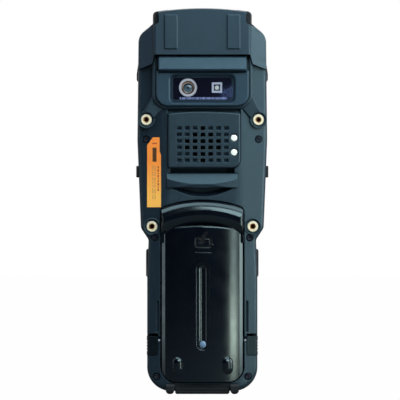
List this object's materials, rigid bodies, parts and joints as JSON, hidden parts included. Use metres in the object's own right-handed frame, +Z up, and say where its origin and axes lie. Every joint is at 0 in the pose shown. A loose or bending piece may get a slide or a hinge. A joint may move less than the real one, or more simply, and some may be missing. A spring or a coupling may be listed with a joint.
{
  "type": "portable barcode data terminal",
  "caption": "Rugged handheld barcode terminal with keypad, touch display, camera and scan window, side triggers and a latched lift-off battery pack.",
  "frame": {"origin": "middle of the dock connector's lower face, on the plane where the two housings meet", "axes": "+Z up along the terminal's length, -Y out of its back, +Y out of its display, +X to the right as the back is seen"},
  "size_m": [0.075, 0.037, 0.2189],
  "materials": {
    "housing": "fine moulded texture, near black",
    "cap": "fine moulded texture, near black",
    "rubber": "soft touch black",
    "battery": "smooth satin black",
    "window_glass": "dark tinted, polished",
    "touch_glass": "black cover glass, polished",
    "scan_glass": "deep red window, polished",
    "trim_metal": "polished ring",
    "brass": "machined",
    "steel": "black zinc",
    "contacts": "gold plated",
    "label": "satin label film",
    "key": "satin keycap",
    "scan_key": "satin amber keycap",
    "board": "solder mask",
    "cells": "laminated foil",
    "lamp": "white reflector",
    "light_pipe": "clear diffuser"
  },
  "bodies": {
    "terminal": {"rear_housing": "housing", "front_housing": "housing", "top_cap": "cap", "cap_corner_pads": "rubber", "scan_window": "scan_glass", "scan_engine": "key", "camera_frame": "cap", "camera_window": "window_glass", "camera_module": "key", "camera_trim_ring": "trim_metal", "flash_led": "lamp", "speaker_cover": "cap", "speaker_driver": "key", "grip_contact_pins": "contacts", "grip_inserts": "brass", "housing_screws": "steel", "rating_label": "label", "strap_bar": "cap", "strap_lugs": "housing", "dock_connector": "key", "housing_seal": "rubber", "battery_connector": "key", "touch_glass": "touch_glass", "display_gasket": "rubber", "display_panel": "key", "main_board": "board", "keypad_mat": "rubber", "status_lights": "light_pipe", "side_bumpers": "rubber"},
    "battery_pack": {"battery_shell": "battery", "battery_base": "battery", "battery_cells": "cells", "battery_terminals": "contacts"},
    "latch_left": {"latch_left": "housing"},
    "latch_right": {"latch_right": "housing"},
    "side_trigger_left": {"side_trigger_left": "rubber"},
    "side_trigger_right": {"side_trigger_right": "rubber"},
    "side_key_left": {"side_key_left": "housing"},
    "side_key_right": {"side_key_right": "housing"},
    "key_scan": {"key_scan": "scan_key"},
    "key_up": {"key_up": "key"},
    "key_down": {"key_down": "key"},
    "key_left": {"key_left": "key"},
    "key_right": {"key_right": "key"},
    "key_menu": {"key_menu": "key"},
    "key_power": {"key_power": "key"},
    "key_back": {"key_back": "key"},
    "key_enter": {"key_enter": "key"},
    "key_star": {"key_star": "key"},
    "key_0": {"key_0": "key"},
    "key_hash": {"key_hash": "key"},
    "key_7": {"key_7": "key"},
    "key_8": {"key_8": "key"},
    "key_9": {"key_9": "key"},
    "key_4": {"key_4": "key"},
    "key_5": {"key_5": "key"},
    "key_6": {"key_6": "key"},
    "key_1": {"key_1": "key"},
    "key_2": {"key_2": "key"},
    "key_3": {"key_3": "key"}
  },
  "joints": [
    {"name": "battery_lift", "type": "slide", "parent": "terminal", "child": "battery_pack", "axis": [0, -1, 0], "range_m": [0, 0.025]},
    {"name": "latch_left_slide", "type": "slide", "parent": "terminal", "child": "latch_left", "axis": [0, 0, 1], "range_m": [0, 0.0012], "stiffness_N_per_m": 400},
    {"name": "side_trigger_left_press", "type": "slide", "parent": "terminal", "child": "side_trigger_left", "axis": [1, 0, 0], "range_m": [0, 0.0008], "stiffness_N_per_m": 1500},
    {"name": "side_key_left_press", "type": "slide", "parent": "terminal", "child": "side_key_left", "axis": [1, 0, 0], "range_m": [0, 0.0005], "stiffness_N_per_m": 1200},
    {"name": "latch_right_slide", "type": "slide", "parent": "terminal", "child": "latch_right", "axis": [0, 0, 1], "range_m": [0, 0.0012], "stiffness_N_per_m": 400},
    {"name": "side_trigger_right_press", "type": "slide", "parent": "terminal", "child": "side_trigger_right", "axis": [-1, 0, 0], "range_m": [0, 0.0008], "stiffness_N_per_m": 1500},
    {"name": "side_key_right_press", "type": "slide", "parent": "terminal", "child": "side_key_right", "axis": [-1, 0, 0], "range_m": [0, 0.0005], "stiffness_N_per_m": 1200},
    {"name": "key_scan_press", "type": "slide", "parent": "terminal", "child": "key_scan", "axis": [0, -1, 0], "range_m": [0, 0.0008], "stiffness_N_per_m": 800},
    {"name": "key_up_press", "type": "slide", "parent": "terminal", "child": "key_up", "axis": [0, -1, 0], "range_m": [0, 0.0008], "stiffness_N_per_m": 800},
    {"name": "key_down_press", "type": "slide", "parent": "terminal", "child": "key_down", "axis": [0, -1, 0], "range_m": [0, 0.0008], "stiffness_N_per_m": 800},
    {"name": "key_left_press", "type": "slide", "parent": "terminal", "child": "key_left", "axis": [0, -1, 0], "range_m": [0, 0.0008], "stiffness_N_per_m": 800},
    {"name": "key_right_press", "type": "slide", "parent": "terminal", "child": "key_right", "axis": [0, -1, 0], "range_m": [0, 0.0008], "stiffness_N_per_m": 800},
    {"name": "key_menu_press", "type": "slide", "parent": "terminal", "child": "key_menu", "axis": [0, -1, 0], "range_m": [0, 0.0008], "stiffness_N_per_m": 800},
    {"name": "key_power_press", "type": "slide", "parent": "terminal", "child": "key_power", "axis": [0, -1, 0], "range_m": [0, 0.0008], "stiffness_N_per_m": 800},
    {"name": "key_back_press", "type": "slide", "parent": "terminal", "child": "key_back", "axis": [0, -1, 0], "range_m": [0, 0.0008], "stiffness_N_per_m": 800},
    {"name": "key_enter_press", "type": "slide", "parent": "terminal", "child": "key_enter", "axis": [0, -1, 0], "range_m": [0, 0.0008], "stiffness_N_per_m": 800},
    {"name": "key_star_press", "type": "slide", "parent": "terminal", "child": "key_star", "axis": [0, -1, 0], "range_m": [0, 0.0008], "stiffness_N_per_m": 800},
    {"name": "key_0_press", "type": "slide", "parent": "terminal", "child": "key_0", "axis": [0, -1, 0], "range_m": [0, 0.0008], "stiffness_N_per_m": 800},
    {"name": "key_hash_press", "type": "slide", "parent": "terminal", "child": "key_hash", "axis": [0, -1, 0], "range_m": [0, 0.0008], "stiffness_N_per_m": 800},
    {"name": "key_7_press", "type": "slide", "parent": "terminal", "child": "key_7", "axis": [0, -1, 0], "range_m": [0, 0.0008], "stiffness_N_per_m": 800},
    {"name": "key_8_press", "type": "slide", "parent": "terminal", "child": "key_8", "axis": [0, -1, 0], "range_m": [0, 0.0008], "stiffness_N_per_m": 800},
    {"name": "key_9_press", "type": "slide", "parent": "terminal", "child": "key_9", "axis": [0, -1, 0], "range_m": [0, 0.0008], "stiffness_N_per_m": 800},
    {"name": "key_4_press", "type": "slide", "parent": "terminal", "child": "key_4", "axis": [0, -1, 0], "range_m": [0, 0.0008], "stiffness_N_per_m": 800},
    {"name": "key_5_press", "type": "slide", "parent": "terminal", "child": "key_5", "axis": [0, -1, 0], "range_m": [0, 0.0008], "stiffness_N_per_m": 800},
    {"name": "key_6_press", "type": "slide", "parent": "terminal", "child": "key_6", "axis": [0, -1, 0], "range_m": [0, 0.0008], "stiffness_N_per_m": 800},
    {"name": "key_1_press", "type": "slide", "parent": "terminal", "child": "key_1", "axis": [0, -1, 0], "range_m": [0, 0.0008], "stiffness_N_per_m": 800},
    {"name": "key_2_press", "type": "slide", "parent": "terminal", "child": "key_2", "axis": [0, -1, 0], "range_m": [0, 0.0008], "stiffness_N_per_m": 800},
    {"name": "key_3_press", "type": "slide", "parent": "terminal", "child": "key_3", "axis": [0, -1, 0], "range_m": [0, 0.0008], "stiffness_N_per_m": 800}
  ]
}
